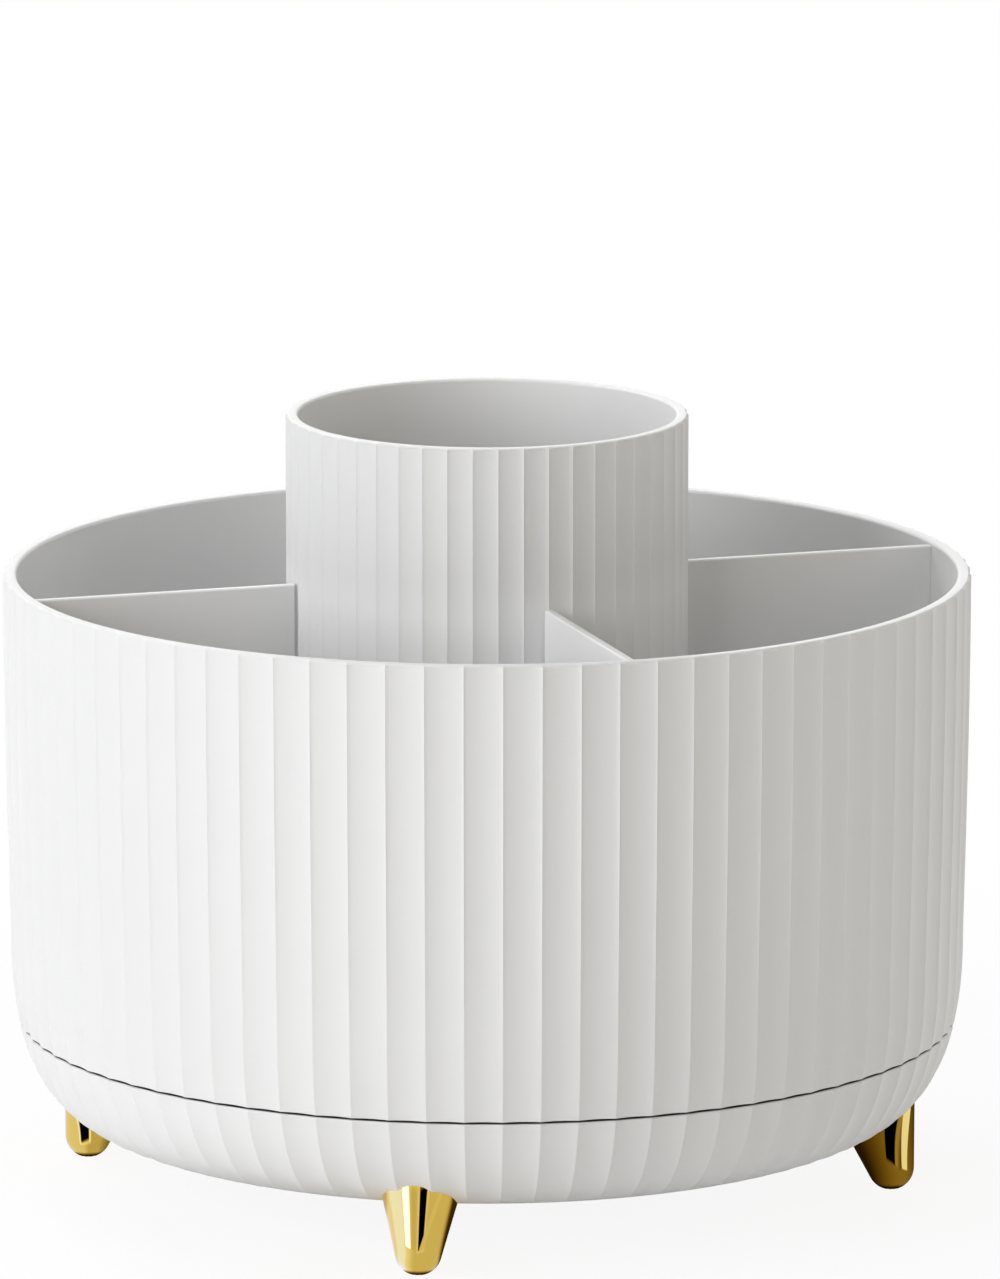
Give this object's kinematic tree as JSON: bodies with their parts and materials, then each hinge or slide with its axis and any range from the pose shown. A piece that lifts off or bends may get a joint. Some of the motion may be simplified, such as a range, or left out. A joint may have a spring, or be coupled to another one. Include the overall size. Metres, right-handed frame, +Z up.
{
  "type": "rotating makeup brush holder",
  "caption": "Round fluted tub that turns on a footed ball-bearing base, with a cross of dividers and a tall lift-out centre cup for cosmetic brushes.",
  "frame": {"origin": "on the turning axis, at the height the feet stand on", "axes": "+Z up along the turning axis; the four divider vanes lie along X and Y"},
  "size_m": [0.1698, 0.1698, 0.1369],
  "materials": {
    "white_plastic": "satin moulded",
    "gold_plating": "polished gold plating on the moulded feet",
    "pressed_steel": "brushed",
    "zinc_steel": "zinc plated",
    "ball_steel": "polished",
    "bearing_plastic": "matte moulded"
  },
  "bodies": {
    "base": {"base_shell": "white_plastic", "lower_race": "pressed_steel", "lower_race_screws": "zinc_steel", "pivot_bush": "bearing_plastic", "foot_front": "gold_plating", "foot_right": "gold_plating", "foot_back": "gold_plating", "foot_left": "gold_plating", "foot_screws": "zinc_steel"},
    "bearing": {"ball_cage": "bearing_plastic", "bearing_balls": "ball_steel"},
    "turning_tub": {"tub": "white_plastic", "upper_race": "pressed_steel", "upper_race_screws": "zinc_steel", "pivot_washer": "pressed_steel", "pivot_screw": "zinc_steel"},
    "dividers": {"divider_frame": "white_plastic"},
    "cup": {"brush_cup": "white_plastic"}
  },
  "joints": [
    {"name": "turntable_spin", "type": "hinge", "parent": "base", "child": "turning_tub", "pos_m": [0, 0, 0.0224], "axis": [0, 0, 1], "continuous": true},
    {"name": "cage_spin", "type": "hinge", "parent": "base", "child": "bearing", "pos_m": [0, 0, 0.0224], "axis": [0, 0, 1], "continuous": true},
    {"name": "divider_lift", "type": "slide", "parent": "turning_tub", "child": "dividers", "axis": [0, 0, 1], "range_m": [0, 0.08]},
    {"name": "cup_lift", "type": "slide", "parent": "turning_tub", "child": "cup", "axis": [0, 0, 1], "range_m": [0, 0.08]}
  ],
  "couplings": [
    {"joint": "cage_spin", "follows": "turntable_spin", "ratio": 0.5}
  ]
}
